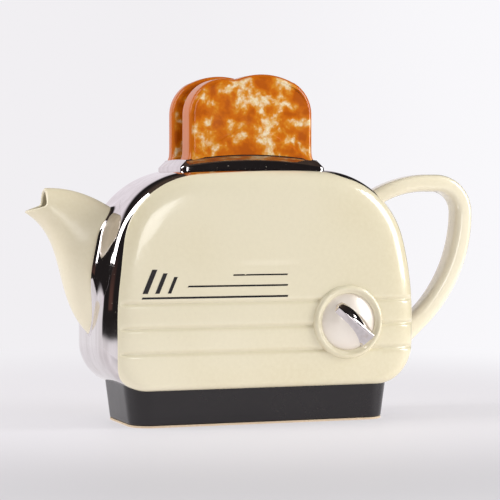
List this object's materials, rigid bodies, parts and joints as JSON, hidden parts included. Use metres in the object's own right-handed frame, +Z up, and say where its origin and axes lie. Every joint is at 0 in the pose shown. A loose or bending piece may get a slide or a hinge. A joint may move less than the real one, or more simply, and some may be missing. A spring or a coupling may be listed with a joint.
{
  "type": "novelty teapot",
  "caption": "Glazed earthenware teapot shaped like a toaster, with spout, handle and a lift-off lid carrying slices of toast.",
  "frame": {"origin": "centre of the flat foot that the pot stands on", "axes": "+Z up, +X from the middle of the pot towards the handle, -Y out of the front panel that carries the dial"},
  "size_m": [0.2873, 0.088, 0.209],
  "materials": {
    "cream_glaze": "glossy cream glaze",
    "lustre": "fired platinum lustre, mirror bright",
    "black_glaze": "satin black glaze",
    "bare_clay": "matt unglazed earthenware",
    "toast_glaze": "glossy mottled brown glaze"
  },
  "bodies": {
    "pot": {"band_shell": "lustre", "front_panel": "cream_glaze", "rear_panel": "cream_glaze", "base_plinth": "black_glaze", "foot": "bare_clay", "spout": "cream_glaze", "handle": "cream_glaze", "dial_bezel": "cream_glaze", "dial_knob": "lustre", "dial_pointer": "lustre"},
    "lid": {"lid_plate": "lustre", "lid_flange": "cream_glaze", "toast_front": "toast_glaze", "toast_rear": "toast_glaze"}
  },
  "joints": [
    {"name": "lid_lift", "type": "slide", "parent": "pot", "child": "lid", "axis": [0, 0, 1], "range_m": [0, 0.05]}
  ]
}
